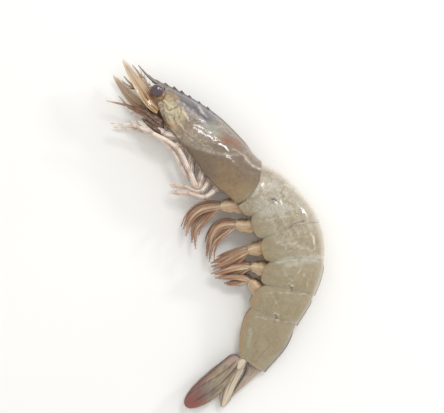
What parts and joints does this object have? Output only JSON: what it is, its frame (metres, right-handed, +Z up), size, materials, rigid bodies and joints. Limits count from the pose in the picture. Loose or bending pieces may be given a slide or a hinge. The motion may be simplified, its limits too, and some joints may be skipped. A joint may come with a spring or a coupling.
{
  "type": "black tiger shrimp",
  "caption": "Whole raw black tiger shrimp with head, legs and tail fan, lying curled on its side; food for a plate, counter or kitchen scene.",
  "frame": {"origin": "middle of the outline's bounding box, on the surface that the shrimp lies on", "axes": "+Z up from the surface, through the shrimp from its right side to its left side; the head points to -X +Y, the back faces +X and the tail fan points to -Y"},
  "size_m": [0.094, 0.1498, 0.0206],
  "materials": {
    "head_shell": "wet, translucent, mottled grey-brown shell",
    "ring_shell": "wet, translucent, grey-green shell",
    "soft_underside": "wet, soft, yellowish skin",
    "eye": "wet, dark, glossy",
    "feeler": "wet, translucent, orange-brown",
    "scale": "wet, translucent, olive-yellow",
    "leg": "wet, translucent, pinkish white",
    "swimming_leg": "wet, translucent, orange-brown",
    "tail_spike": "wet, grey-brown shell",
    "tail_fan": "wet, thin, red-brown shell"
  },
  "bodies": {
    "root": {"shield": "head_shell", "head_front": "soft_underside", "breast": "soft_underside", "abdomen_ring_1": "ring_shell", "abdomen_ring_2": "ring_shell", "abdomen_ring_3": "ring_shell", "abdomen_ring_4": "ring_shell", "abdomen_ring_5": "ring_shell", "abdomen_ring_6": "ring_shell", "telson": "tail_spike", "eye_left": "eye", "small_feeler_left": "feeler", "feeler_scale_left": "scale", "long_feeler_left": "feeler", "jaw_leg_left": "leg", "walking_leg_left_1": "leg", "walking_leg_left_2": "leg", "walking_leg_left_3": "leg", "walking_leg_left_4": "leg", "walking_leg_left_5": "leg", "swimming_leg_left_1": "swimming_leg", "swimming_leg_left_2": "swimming_leg", "swimming_leg_left_3": "swimming_leg", "swimming_leg_left_4": "swimming_leg", "swimming_leg_left_5": "swimming_leg", "fan_base_left": "tail_fan", "fan_outer_left": "tail_fan", "fan_inner_left": "tail_fan", "eye_right": "eye", "small_feeler_right": "feeler", "feeler_scale_right": "scale", "long_feeler_right": "feeler", "jaw_leg_right": "leg", "walking_leg_right_1": "leg", "walking_leg_right_2": "leg", "walking_leg_right_3": "leg", "walking_leg_right_4": "leg", "walking_leg_right_5": "leg", "swimming_leg_right_1": "swimming_leg", "swimming_leg_right_2": "swimming_leg", "swimming_leg_right_3": "swimming_leg", "swimming_leg_right_4": "swimming_leg", "swimming_leg_right_5": "swimming_leg", "fan_base_right": "tail_fan", "fan_outer_right": "tail_fan", "fan_inner_right": "tail_fan"}
  },
  "joints": []
}
